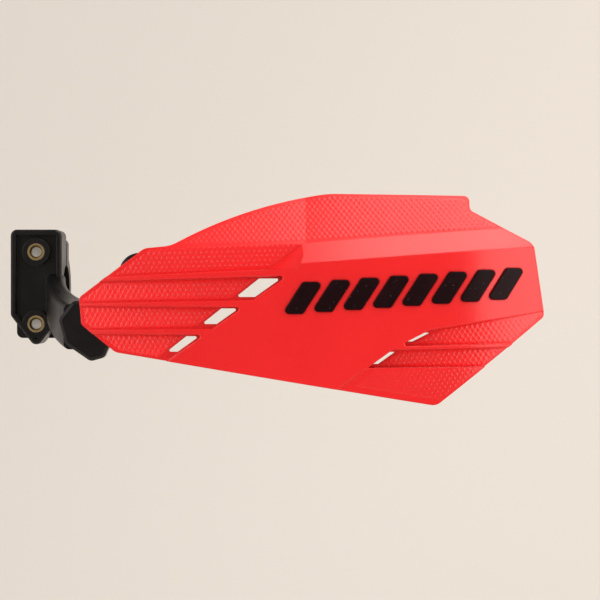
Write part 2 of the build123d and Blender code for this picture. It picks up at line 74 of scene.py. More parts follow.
# Plan of the shield's front skin: a gentle bow that tightens into a wrap at the outboard end
INBOARD_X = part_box("shield")[0].x / MM
OUTBOARD_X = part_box("shield")[1].x / MM
STANDOFF = 98.0
BOW_R = 500.0
BOW_X = OUTBOARD_X - 80.0
WRAP_R = 85.0
WRAP_X = OUTBOARD_X - 45.0
WRAP_TURN = math.asin((WRAP_X - BOW_X) / BOW_R)
BOW_CENTRE = np.array((BOW_X, BOW_R - STANDOFF))
WRAP_CENTRE = BOW_CENTRE + (BOW_R - WRAP_R) * np.array((math.sin(WRAP_TURN), -math.cos(WRAP_TURN)))

# Wall of the shield, and its louvre floors, set back from the skin and turned about its ends
WALL = 3.0
FLOOR_STEP = 0.6
INBOARD_TURN = 4.6
OUTBOARD_TURN = -4.8
PANEL_TURN = -0.4

# Visor: a shallow cylinder that leans back, and outboard of it the skin's plan behind the bevel
VISOR_LEAN = math.radians(30.0)
VISOR_R = 990.0
VISOR_POINT = (OUTBOARD_X - 96.0, 9.4 - STANDOFF, 18.8)
BEVEL_Z = 11.6
BEVEL_RISE = math.radians(4.4)
BEVEL_HEIGHT = 8.8


def arc_y(x, centre, radius):
    """Front of a circle in plan: its centre's depth less the half chord at x."""
    return centre[1] - np.sqrt(radius**2 - (x - centre[0]) ** 2)


def skin_y(x):
    """Depth of the front skin: the bow's circle, then the wrap's circle from their common tangent on."""
    bow = arc_y(np.minimum(x, WRAP_X), BOW_CENTRE, BOW_R)
    wrap = arc_y(np.maximum(x, WRAP_X), WRAP_CENTRE, WRAP_R)
    return np.where(x < WRAP_X, bow, wrap)


def turned(point, hinge, angle):
    """A point of the plan turned about a hinge."""
    c, s = math.cos(math.radians(angle)), math.sin(math.radians(angle))
    dx, dy = point[0] - hinge[0], point[1] - hinge[1]
    return np.array((hinge[0] + c * dx - s * dy, hinge[1] + s * dx + c * dy))


def turned_skin(hinge_x, angle, inset):
    """Depth of the skin, moved back by an inset and turned about one end: the turned bow, then the wrap."""
    hinge = (hinge_x, float(skin_y(hinge_x)))
    bow = turned(BOW_CENTRE, hinge, angle)
    wrap = turned(WRAP_CENTRE, hinge, angle)
    join = turned((WRAP_X, float(skin_y(WRAP_X))), hinge, angle)[0]

    def depth(x, z):
        near = arc_y(np.minimum(x, join), bow, BOW_R - inset)
        far = arc_y(np.maximum(x, join), wrap, WRAP_R - inset)
        return np.where(x < join, near, far)

    return depth


inboard_floor_y = turned_skin(INBOARD_X, INBOARD_TURN, FLOOR_STEP)
outboard_floor_y = turned_skin(OUTBOARD_X, OUTBOARD_TURN, FLOOR_STEP)
panel_y = turned_skin(OUTBOARD_X, PANEL_TURN, 0.0)
back_y = turned_skin(OUTBOARD_X, 0.0, WALL)


def visor_y(x, z):
    """Depth of the visor: the nearer of its cylinder and the skin behind the bevel, each sloped back."""
    rise = VISOR_R - np.sqrt(VISOR_R**2 - (x - VISOR_POINT[0]) ** 2)
    up = (z - VISOR_POINT[2] + math.sin(VISOR_LEAN) * rise) / math.cos(VISOR_LEAN)
    cylinder = VISOR_POINT[1] + math.cos(VISOR_LEAN) * rise + math.sin(VISOR_LEAN) * up
    above_bevel = z - BEVEL_Z - (x - BOW_X) * math.tan(BEVEL_RISE) - BEVEL_HEIGHT
    behind_bevel = skin_y(x / math.cos(BEVEL_RISE)) + BEVEL_HEIGHT + above_bevel * math.tan(VISOR_LEAN)
    return np.minimum(cylinder, behind_bevel)


def raise_from(surface, x, z, height):
    """Points that stand a height off a surface y = f(x, z), along its front normal (f_x, -1, f_z)."""
    step = 0.01
    y = surface(x, z)
    slope_x = (surface(x + step, z) - surface(x - step, z)) / (2 * step)
    slope_z = (surface(x, z + step) - surface(x, z - step)) / (2 * step)
    normal = np.stack((slope_x, -np.ones_like(x), slope_z), axis=-1)
    normal /= np.linalg.norm(normal, axis=-1, keepdims=True)
    return np.stack((x, y, z), axis=-1) + normal * height[..., None]


def line_distance(start, end):
    """Signed distance from the line through two points of the front view, positive on its left."""
    (ax, az), (bx, bz) = start, end
    length = math.hypot(bx - ax, bz - az)
    return lambda x, z: ((bx - ax) * (z - az) - (bz - az) * (x - ax)) / length


def inside_distance(bounds, x, z):
    """Least signed distance to the bounds of a panel."""
    return np.min([each(x, z) for each in bounds], axis=0)


# Lines of the shield's front view, each run with the moulding or the textured panel on its left
RIM_UPPER = ((INBOARD_X + 28.5, 16.5), (INBOARD_X, -4.6))
RIM_END = ((INBOARD_X, -4.6), (INBOARD_X + 1.0, -16.3))
RIM_HEEL = ((INBOARD_X + 1.0, -16.3), (INBOARD_X + 16.0, -28.2))
RIM_KEEL = ((INBOARD_X + 16.0, -28.2), (OUTBOARD_X - 48.0, -50.5))
RIM_OUTBOARD = ((OUTBOARD_X - 48.0, -50.5), (OUTBOARD_X + 0.3, -12.8))
RIM_SIDE = ((OUTBOARD_X + 0.3, -12.8), (OUTBOARD_X - 4.8, 18.6))
RIM_NOTCH = ((OUTBOARD_X - 4.8, 18.6), (OUTBOARD_X - 32.2, 33.2))
RIM_CROWN_END = ((OUTBOARD_X - 32.2, 33.2), (OUTBOARD_X - 32.0, 39.5))
RIM_CROWN = ((OUTBOARD_X - 32.0, 39.5), (OUTBOARD_X - 93.0, 40.5))
CROWN_CENTRE = (INBOARD_X + 132.1, -143.5)
CROWN_R = 185.6
VENT_EDGE = ((INBOARD_X + 38.2, -27.9), (INBOARD_X + 78.0, 3.6))
RIB_X = (INBOARD_X - 6.0, INBOARD_X + 94.6)
RIB_HEIGHTS = ((1.75, 3.45, 4.6, 7.8), (-8.45, -7.05, -8.9, -5.3), (-20.3, -18.5, -20.7, -17.5))
RAMP = ((INBOARD_X + 82.2, 7.3), (INBOARD_X + 93.0, 15.6))
VISOR_CREASE = ((INBOARD_X + 28.3, 16.5), (INBOARD_X + 95.4, 18.8))
BEVEL_CREASE = ((INBOARD_X + 101.7, 19.1), (INBOARD_X + 182.9, 25.0))
PLATEAU_CREASE = ((OUTBOARD_X, -9.9), (OUTBOARD_X - 50.6, -18.4))
OUTBOARD_RIB_LOW = ((OUTBOARD_X, -25.65), (OUTBOARD_X - 77.0, -27.05))
OUTBOARD_RIB_HIGH = ((OUTBOARD_X - 77.0, -25.4), (OUTBOARD_X, -24.15))
PANEL_EDGE_UP = ((OUTBOARD_X - 77.0, -34.4), (OUTBOARD_X, -33.9))
SLIT_UPPER = ((OUTBOARD_X - 47.8, -18.4), (OUTBOARD_X - 61.8, -25.5))
SLIT_LOWER = ((OUTBOARD_X - 61.8, -25.5), (OUTBOARD_X - 74.2, -34.4))
PANEL_START = ((OUTBOARD_X - 77.0, -34.4), (OUTBOARD_X - 101.5, -52.0))


def reverse(line):
    """A line run the other way, with the other side on its left."""
    return line[1], line[0]


def rib_edge(rib, low):
    """A rib's lower or upper edge, run so that the panel below or above it is on the left."""
    end_low, end_high, root_low, root_high = RIB_HEIGHTS[rib]
    if low:
        return (RIB_X[1], root_low), (RIB_X[0], end_low)
    return (RIB_X[0], end_high), (RIB_X[1], root_high)


# How far the texture keeps off each kind of edge
MARGINS = {"end": 1.2, "rib": 0.1, "vent": 0.3, "crease": 0.1, "rim": 0.6, "fade": 2.0}


def bound(line, edge):
    """A line as a panel's bound: the distance from it, less the margin of its kind of edge."""
    distance = line_distance(*line)
    return lambda x, z: distance(x, z) - MARGINS[edge]


def crown_bound(x, z):
    """Distance inside the arc along the visor's top, less the rim's margin."""
    return CROWN_R - np.hypot(x - CROWN_CENTRE[0], z - CROWN_CENTRE[1]) - MARGINS["rim"]


def along_x(places, shares):
    """A share that runs straight from one value to another between two places along X."""
    return lambda x, z: np.interp(x, places, shares)


def new_mesh(name, points, faces):
    """Smooth object from points in millimetres and faces, at the origin."""
    mesh = bpy.data.meshes.new(name)
    mesh.from_pydata((np.asarray(points) * MM).tolist(), [], np.asarray(faces).tolist())
    mesh.polygons.foreach_set("use_smooth", np.full(len(mesh.polygons), True))
    mesh.update()
    made = bpy.data.objects.new(name, mesh)
    bpy.context.scene.collection.objects.link(made)
    return made


# A net's low corner and span in the front view, the rise of its rows in degrees, and its profile,
# whose row and height are in metres as the properties are
Net = namedtuple("Net", "corner span rise row height ridge lines")


def net_profile(s, t, ridge, lines):
    """Ridges along the lines of two families: each is (1 - d d)^2 at d ridge widths from its line.

    A share of the height goes to the lines, and the rest to the knots where they cross.
    """
    near_s = np.clip(1 - (np.abs(s - np.round(s)) / ridge) ** 2, 0, 1) ** 2
    near_t = np.clip(1 - (np.abs(t - np.round(t)) / ridge) ** 2, 0, 1) ** 2
    return lines * np.maximum(near_s, near_t) + (1 - lines) * near_s * near_t


def net_sheet(surface, bounds, net, look, share=None):
    """Points and quads of a sheet with a net of ridges, on a lattice of two crossing families of lines.

    s and t count the lines of the two families, and p = pitch (s + t) / 2 along the rows and
    q = row (s - t) across them lead to the front view. The height is the net's profile, whose lines rise
    or fade along the rows, times a share of x and z. The sheet flattens out along the panel's bounds and
    dips under the surface there.
    """
    parts = look.divisions
    pitch, row = look.pitch / MM, net.row / MM
    first = math.floor(-net.span[1] / row)
    count = math.ceil(2 * net.span[0] / pitch + 2 * net.span[1] / row) + 2
    tilt = math.radians(net.rise)

    def place(s, t):
        p = pitch * (s + t) / 2
        q = row * (s - t)
        x = net.corner[0] + p * math.cos(tilt) - q * math.sin(tilt)
        z = net.corner[1] + p * math.sin(tilt) + q * math.cos(tilt)
        return x, z

    steps = np.arange(count * parts + 1) / parts + first
    s, t = np.meshgrid(steps, steps, indexing="ij")
    within = inside_distance(bounds, *place(s, t)) > 0
    quads_kept = within[:-1, :-1] & within[1:, :-1] & within[:-1, 1:] & within[1:, 1:]
    around = np.pad(quads_kept, 1)
    used = around[:-1, :-1] | around[1:, :-1] | around[:-1, 1:] | around[1:, 1:]
    s, t = s[used], t[used]
    x, z = place(s, t)
    grown = np.clip(inside_distance(bounds, x, z) / (look.border / MM), 0, 1)
    strength = net.height * grown
    if share:
        strength = strength * share(x, z)
    ground = grown * (look.lift + look.sink) - look.sink
    lines = np.interp(pitch * (s + t) / 2, (0, net.span[0]), net.lines)
    height = (ground + strength * net_profile(s, t, net.ridge, lines)) / MM

    rows, columns = np.nonzero(quads_kept)
    number = np.cumsum(used).reshape(used.shape) - 1
    points = raise_from(surface, x, z, height)
    faces = np.stack(
        (
            number[rows, columns],
            number[rows, columns + 1],
            number[rows + 1, columns + 1],
            number[rows + 1, columns],
        ),
        axis=-1,
    )
    return points, faces


def disc_sheet(surface, middle, radius, height):
    """Points and quads of a shallow disc that stands behind a surface, with its rim under it.

    A square grid a, b of -1 to 1 becomes a disc by x = a sqrt(1 - b b / 2) and z = b sqrt(1 - a a / 2).
    """
    steepness, sunk = 6, 0.6
    side = np.linspace(-1, 1, 15)
    a, b = np.meshgrid(side, side, indexing="ij")
    across, up = a * np.sqrt(1 - b**2 / 2), b * np.sqrt(1 - a**2 / 2)
    top = np.clip((1 - np.hypot(across, up)) * steepness, 0, 1)
    stand = height * ((1 + sunk) * top - sunk)
    points = raise_from(surface, middle[0] + radius * across, middle[1] + radius * up, -stand)
    number = np.arange(a.size).reshape(a.shape)
    faces = np.stack((number[:-1, :-1], number[:-1, 1:], number[1:, 1:], number[1:, :-1]), axis=-1)
    return points.reshape(-1, 3), faces.reshape(-1, 4)


def joined(sheets):
    """Several sheets' points and faces as one."""
    starts = np.cumsum([0] + [len(points) for points, _ in sheets[:-1]])
    points = np.concatenate([points for points, _ in sheets])
    faces = np.concatenate([faces + start for (_, faces), start in zip(sheets, starts)])
    return points, faces


class Shade:
    """A socket of a recipe; arithmetic on it adds Math nodes."""

    def __init__(self, recipe, socket):
        self.recipe = recipe
        self.socket = socket

    def math(self, operation, first, second):
        return self.recipe.node("ShaderNodeMath", {"operation": operation}, {0: first, 1: second})

    def __add__(self, other):
        return self.math("ADD", self, other)

    def __radd__(self, other):
        return self.math("ADD", other, self)

    def __sub__(self, other):
        return self.math("SUBTRACT", self, other)

    def __rsub__(self, other):
        return self.math("SUBTRACT", other, self)

    def __mul__(self, other):
        return self.math("MULTIPLY", self, other)

    def __rmul__(self, other):
        return self.math("MULTIPLY", other, self)


class Recipe:
    """A material in the making, with its Principled shader and the nodes that feed it."""

    def __init__(self, name):
        self.material = bpy.data.materials.new(name)
        self.material.use_nodes = True
        self.tree = self.material.node_tree
        self.shader = self.tree.nodes["Principled BSDF"]
        self.place = self.node("ShaderNodeTexCoord", {}, {}, "Object")

    def node(self, kind, settings, inputs, output=0):
        """Adds a node, sets its settings, then the values or links of its sockets."""
        made = self.tree.nodes.new(kind)
        for key, value in settings.items():
            setattr(made, key, value)
        for key, value in inputs.items():
            self.feed(made.inputs[key], value)
        return Shade(self, made.outputs[output])

    def feed(self, socket, value):
        """Links a shade to a socket, or sets the socket's own value."""
        if isinstance(value, Shade):
            self.tree.links.new(value.socket, socket)
        else:
            socket.default_value = value

    def set(self, **inputs):
        """Feeds sockets of the shader, whose names are written with _ for a space."""
        for key, value in inputs.items():
            self.feed(self.shader.inputs[key.replace("_", " ")], value)

    def noise(self, size, detail=2.0, rough=0.5, place=None):
        """Noise with features of a size in metres, about 0 to 1."""
        inputs = {"Vector": place or self.place, "Scale": 1 / size, "Detail": detail, "Roughness": rough}
        return self.node("ShaderNodeTexNoise", {}, inputs)

    def stretched(self, scale):
        """Object coordinates scaled along each axis."""
        return self.node("ShaderNodeMapping", {}, {"Vector": self.place, "Scale": scale})

    def span(self, value, low, high, to_low=0.0, to_high=1.0):
        """A smooth ramp from to_low to to_high while the value goes from low to high."""
        inputs = {"Value": value, "From Min": low, "From Max": high, "To Min": to_low, "To Max": to_high}
        return self.node("ShaderNodeMapRange", {"interpolation_type": "SMOOTHSTEP"}, inputs)

    def mix(self, share, first, second):
        """Two colours mixed by a share."""
        made = self.tree.nodes.new("ShaderNodeMix")
        made.data_type = "RGBA"
        sockets = {each.identifier: each for each in made.inputs}
        self.feed(sockets["Factor_Float"], share)
        for name, colour in (("A_Color", first), ("B_Color", second)):
            self.feed(sockets[name], colour if isinstance(colour, Shade) else (*colour, 1.0))
        return Shade(self, next(each for each in made.outputs if each.identifier == "Result_Color"))

    def bump(self, height, distance, strength=1.0, normal=None):
        """Normal bent by a height of 0 to 1 that stands for a distance in metres."""
        inputs = {"Height": height, "Distance": distance, "Strength": strength}
        if normal:
            inputs["Normal"] = normal
        return self.node("ShaderNodeBump", {}, inputs)

    def soft_edges(self, radius, samples=6):
        """Normal rounded over edges within a radius."""
        return self.node("ShaderNodeBevel", {"samples": samples}, {"Radius": radius})


def tint(colour, factor):
    """A colour times a factor."""
    return tuple(channel * factor for channel in colour)


def shield_plastic(finish):
    """Satin polypropylene with its edges softened."""
    return red_base("shield_plastic", finish, edge_round=finish.edge_round).material


def shield_relief(finish):
    """The shield's plastic on raised marks, which shine a little more and whose edges stay crisp."""
    return red_base("shield_relief", finish, shine=0.62).material


def shield_texture(finish):
    """The shield's plastic on open textured panels, with a painted brightening that makes up for the
    texture's own shade.
    """
    return red_base("shield_texture", finish, painted_brightening=1.06, shine=0.62).material


def shield_louvre(finish):
    """The shield's plastic on textured panels between ribs, with a stronger painted brightening that makes
    up for the shade of the ribs.
    """
    return red_base("shield_louvre", finish, painted_brightening=1.19, shine=0.64).material


def red_base(name, finish, painted_brightening=1.0, shine=0.5, edge_round=None):
    """Red plastic with a faint drift of tone and gloss, and a fine satin grain, whose colour a painted
    brightening may raise.
    """
    made = Recipe(name)
    # Painted light: the colour is raised by a factor that stands in for the shade that ribs and texture
    # cast on the panels.
    colour = tint(finish.shield_colour, painted_brightening)
    drift = made.span(made.noise(60 * MM, detail=3.0, rough=0.55), 0.3, 0.7)
    tone = made.mix(drift, tint(colour, 0.97), tint(colour, 1.02))
    gloss = finish.shield_roughness + 0.06 * drift
    made.set(Base_Color=tone, Roughness=gloss, Specular_IOR_Level=shine)
    edges = made.soft_edges(edge_round) if edge_round else None
    made.set(Normal=made.bump(made.noise(0.5 * MM), 0.004 * MM, strength=0.5, normal=edges))
    return made


def arm_nylon(finish):
    """Glass-filled nylon: near black, satin, with a fine spark grain and a few greyer fibres."""
    made = Recipe("arm_nylon")
    colour = tuple(finish.nylon_colour)
    drift = made.span(made.noise(12 * MM, detail=3.0, rough=0.6), 0.3, 0.7)
    short = made.stretched((1.0, 3.0, 1.0))
    fibres = made.span(made.noise(0.9 * MM, detail=4.0, rough=0.7, place=short), 0.55, 0.8)
    tone = made.mix(drift, tint(colour, 0.8), tint(colour, 1.25))
    tone = made.mix(fibres * 0.2, tone, tint(colour, 3.0))
    grain = made.noise(0.4 * MM, detail=3.0, rough=0.65)
    made.set(Base_Color=tone, Roughness=0.3 + 0.08 * drift + 0.08 * fibres, Specular_IOR_Level=0.26)
    edges = made.soft_edges(0.6 * MM)
    made.set(Normal=made.bump(grain, 0.006 * MM, strength=0.6, normal=edges))
    return made.material


def pad_rubber(finish):
    """Moulded rubber: matt black with a dusty bloom, a few specks of lint and softened edges."""
    made = Recipe("pad_rubber")
    colour = tuple(finish.rubber_colour)
    bloom = made.span(made.noise(8 * MM, detail=4.0, rough=0.6), 0.4, 0.75)
    lint = made.span(made.noise(0.8 * MM, detail=1.0, rough=0.4), 0.74, 0.8)
    tone = made.mix(bloom * 0.4, colour, tint(colour, 2.0))
    tone = made.mix(lint * 0.5, tone, (0.22, 0.19, 0.18))
    made.set(Base_Color=tone, Roughness=0.38 + 0.1 * bloom, Specular_IOR_Level=0.09)
    made.set(Normal=made.soft_edges(0.35 * MM))
    return made.material


def plated_steel(finish):
    """Zinc-plated steel: turned marks, a cloudy passivation and duller patches."""
    made = Recipe("plated_steel")
    cloud = made.span(made.noise(4 * MM, detail=4.0, rough=0.6), 0.3, 0.7)
    drawn = made.stretched((1.0, 0.15, 1.0))
    marks = made.noise(0.6 * MM, detail=3.0, rough=0.7, place=drawn)
    made.set(Base_Color=made.mix(cloud, (0.52, 0.51, 0.48), (0.66, 0.65, 0.62)), Metallic=1.0)
    made.set(Roughness=0.26 + 0.14 * cloud + 0.08 * marks)
    edges = made.soft_edges(0.3 * MM)
    made.set(Normal=made.bump(marks, 0.01 * MM, strength=0.6, normal=edges))
    return made.material


def turned_brass(finish):
    """Turned brass of the threaded inserts, a little tarnished."""
    made = Recipe("turned_brass")
    tarnish = made.span(made.noise(3 * MM, detail=3.0, rough=0.6), 0.35, 0.75)
    drawn = made.stretched((1.0, 0.1, 1.0))
    marks = made.noise(0.5 * MM, detail=3.0, rough=0.7, place=drawn)
    made.set(Base_Color=made.mix(tarnish, (0.52, 0.38, 0.18), (0.26, 0.18, 0.09)), Metallic=1.0)
    made.set(Roughness=0.28 + 0.18 * tarnish)
    made.set(Normal=made.bump(marks, 0.01 * MM, strength=0.6))
    return made.material


def finish_of(make):
    """The material of a finish, named as its function is and made on first use."""
    return bpy.data.materials.get(make.__name__) or make(bpy.context.scene.guard_finish)


def give(make, names):
    """A finish for CAD nodes whose shape stays."""
    for name in names:
        mesh = nodes[name].data
        mesh.materials.clear()
        mesh.materials.append(finish_of(make))


# Thickness of the texture's skins
SKIN_THICKNESS = 0.3


def add_skin(name, sheet, make):
    """A piece from a sheet and a back behind it, so that it is a closed skin on the shield."""
    made = new_mesh(name, *sheet)
    skin = made.modifiers.new("skin", "SOLIDIFY")
    skin.thickness = SKIN_THICKNESS * MM
    skin.offset = -1.0
    made.data.materials.append(finish_of(make))
    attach(made, BODY)


def length_choice(name, description, millimetres):
    """A length that a user may change."""
    return FloatProperty(name=name, description=description, default=millimetres * MM, unit="LENGTH")


def share_choice(name, description, default):
    """A number from 0 to 1 that a user may change."""
    return FloatProperty(
        name=name, description=description, default=default, min=0.0, max=1.0, subtype="FACTOR"
    )


def ends_choice(name, description, default):
    """A share at the start of a net's rows and one at their end, which a user may change."""
    return FloatVectorProperty(
        name=name, description=description, default=default, size=2, min=0.0, max=1.0
    )


def colour_choice(name, description, default):
    """A colour that a user may change."""
    return FloatVectorProperty(
        name=name, description=description, default=default, min=0.0, max=1.0, subtype="COLOR"
    )


class GuardTexture(PropertyGroup):
    """Sizes of the diamond texture"""

    pitch: length_choice("Pitch", "Width of a diamond", 2.25)
    row: length_choice("Row", "Half a diamond's height on the inboard panels", 1.98)
    outboard_row: length_choice("Outboard row", "Half a diamond's height on the outboard panels", 1.75)
    visor_row: length_choice("Visor row", "Half a diamond's height on the visor", 1.53)
    stud_row: length_choice("Stud row", "Distance between rows of studs", 1.64)
    height: length_choice("Height", "Height of a knot on the panels", 0.48)
    visor_height: length_choice("Visor height", "Height of a knot on the visor", 0.1)
    stud_height: length_choice("Stud height", "Height of a stud", 0.32)
    ridge: share_choice("Ridge", "Half a ridge's width as a share of a diamond", 0.19)
    visor_ridge: share_choice("Visor ridge", "Half a ridge's width as a share of a diamond", 0.34)
    stud: share_choice("Stud", "Half a stud's width as a share of a diamond", 0.27)
    lines: ends_choice("Lines", "Lines' share of a knot's height, inboard", (0.45, 0.1))
    upper_lines: ends_choice("Upper lines", "Lines' share on the panel above the ribs", (0.3, 0.05))
    outboard_lines: ends_choice("Outboard lines", "Lines' share on the outboard panels", (0.12, 0.6))
    visor_lines: ends_choice("Visor lines", "Lines' share on the visor", (0.25, 0.25))
    lift: length_choice("Lift", "Height of a net's ground above the panel", 0.05)
    sink: length_choice("Sink", "Depth of a net's border under the panel", 0.08)
    border: length_choice("Border", "Distance over which a net grows from its border", 1.2)
    divisions: IntProperty(name="Divisions", description="Quads along a diamond's side", default=8, min=2)


class GuardFinish(PropertyGroup):
    """Colours and gloss of the guard"""

    shield_colour: colour_choice("Shield", "Colour of the shield", (0.8, 0.008, 0.01))
    shield_roughness: share_choice("Shield roughness", "Roughness of the shield", 0.26)
    edge_round: length_choice("Edge", "Rounding seen on the shield's edges", 0.8)
    nylon_colour: colour_choice("Nylon", "Colour of the arm and clamp", (0.0045, 0.0036, 0.004))
    rubber_colour: colour_choice("Rubber", "Colour of the pads", (0.0085, 0.0012, 0.002))


class GuardStage(PropertyGroup):
    """Camera, floor and wall"""

    wall_colour: colour_choice("Wall", "Colour of the floor and wall", (0.783, 0.723, 0.661))
    floor_height: length_choice("Floor", "Height of the floor", -300.0)
    wall_depth: length_choice("Wall depth", "Place of the wall", 900.0)
    camera_place: FloatVectorProperty(
        name="Camera", description="Place of the camera", subtype="XYZ", default=(0.1244, -0.798, -0.0057)
    )
    focal: FloatProperty(name="Lens", description="Focal length", default=99.48, unit="CAMERA")


# Light of the lamps, the room and the wall
LAMP_COLOUR = (1.0, 0.955, 0.9)
ROOM_COLOUR = (1.0, 0.95, 0.9, 1.0)
ROOM_STRENGTH = 0.36
WALL_GLOW = 0.6


class HANDGUARD_OT_stage(Operator):
    """Camera, lamps, and a pale floor that sweeps up into a wall"""

    bl_idname = "handguard.stage"
    bl_label = "Stage"

    def execute(self, context):
        stage = context.scene.guard_stage
        scene = context.scene
        scene.view_settings.view_transform = "Standard"
        lens = bpy.data.cameras.new("front_camera")
        lens.lens = stage.focal
        lens.sensor_width = 36.0
        lens.clip_start = 0.01
        camera = bpy.data.objects.new("front_camera", lens)
        camera.location = stage.camera_place
        camera.rotation_euler = (math.pi / 2, 0.0, 0.0)
        scene.collection.objects.link(camera)
        scene.camera = camera
        self.sweep(stage)
        middle = (solid_box[0] + solid_box[1]) / 2
        self.lamp("top_softbox", place=(0.56, 0.0, 1.0), aim=(0.56, -0.04, 0.0), size=(1.0, 0.5), power=6.2)
        front_aim = (0.5, -0.08, 0.03)
        self.lamp("front_softbox", place=(0.5, -0.5, 0.82), aim=front_aim, size=(0.8, 0.4), power=3.2)
        self.lamp("outboard_softbox", place=(1.1, -0.59, 0.25), aim=middle, size=(1.1, 1.0), power=8.9)
        self.lamp("inboard_softbox", place=(-0.87, -0.53, 0.3), aim=middle, size=(1.1, 1.0), power=7.1)
        scene.world = bpy.data.worlds.new("soft_room")
        scene.world.use_nodes = True
        room = scene.world.node_tree.nodes["Background"]
        room.inputs["Color"].default_value = ROOM_COLOUR
        room.inputs["Strength"].default_value = ROOM_STRENGTH
        return {"FINISHED"}

    def lamp(self, name, place, aim, size, power):
        """Soft rectangle of light that faces a point."""
        data = bpy.data.lights.new(name, "AREA")
        data.shape = "RECTANGLE"
        data.size, data.size_y = size
        data.energy = power
        data.color = LAMP_COLOUR
        made = bpy.data.objects.new(name, data)
        made.location = place
        made.rotation_euler = (Vector(aim) - made.location).to_track_quat("-Z", "Y").to_euler()
        bpy.context.scene.collection.objects.link(made)

    def sweep(self, stage):
        """Floor and wall: a straight run, a quarter circle and a straight run, carried along X."""
        radius, reach, width, height = 0.35, 1.6, 2.4, 1.9
        turn = np.linspace(0, math.pi / 2, 25)
        floor, wall = stage.floor_height, stage.wall_depth
        y = np.concatenate(([-reach], wall - radius + radius * np.sin(turn), [wall]))
        z = np.concatenate(([floor], floor + radius - radius * np.cos(turn), [height]))
        across = np.array((-width, width))
        grid = np.broadcast_arrays(across[None, :], y[:, None], z[:, None])
        points = np.stack(grid, axis=-1).reshape(-1, 3)
        first = 2 * np.arange(len(y) - 1)
        faces = np.stack((first, first + 1, first + 3, first + 2), axis=-1)
        made = new_mesh("stage_sweep", points / MM, faces)
        made.data.materials.append(self.paper(tuple(stage.wall_colour)))

    def paper(self, colour):
        """Pale paper with a painted falloff of light, lighter outboard and downwards, that glows a little
        where it is seen.
        """
        paper = Recipe("stage_paper")
        across = paper.node("ShaderNodeSeparateXYZ", {}, {0: paper.place}, "X")
        up = paper.node("ShaderNodeSeparateXYZ", {}, {0: paper.place}, "Z")
        # Painted light: the paper's colour is lighter outboard and downwards, standing in for how light
        # falls on the wall.
        painted_falloff = paper.span(across - 0.7 * up, -0.35, 0.45)
        tone = paper.mix(painted_falloff, tint(colour, 0.96), tint(colour, 1.035))
        paper.set(Base_Color=tone, Roughness=0.9, Specular_IOR_Level=0.1)
        rays = ("Is Camera Ray", "Is Glossy Ray", "Is Transmission Ray")
        direct, glossy, through = (paper.node("ShaderNodeLightPath", {}, {}, ray) for ray in rays)
        seen = direct + glossy + through
        glow = paper.node("ShaderNodeEmission", {}, {"Color": tone, "Strength": 1.0})
        plain = Shade(paper, paper.shader.outputs["BSDF"])
        mixed = paper.node("ShaderNodeMixShader", {}, {0: seen * WALL_GLOW, 1: plain, 2: glow})
        paper.feed(paper.tree.nodes["Material Output"].inputs["Surface"], mixed)
        return paper.material


class HANDGUARD_OT_shield(Operator):
    """Red plastic on the shield"""

    bl_idname = "handguard.shield"
    bl_label = "Shield"

    def execute(self, context):
        give(shield_plastic, ["shield"])
        return {"FINISHED"}


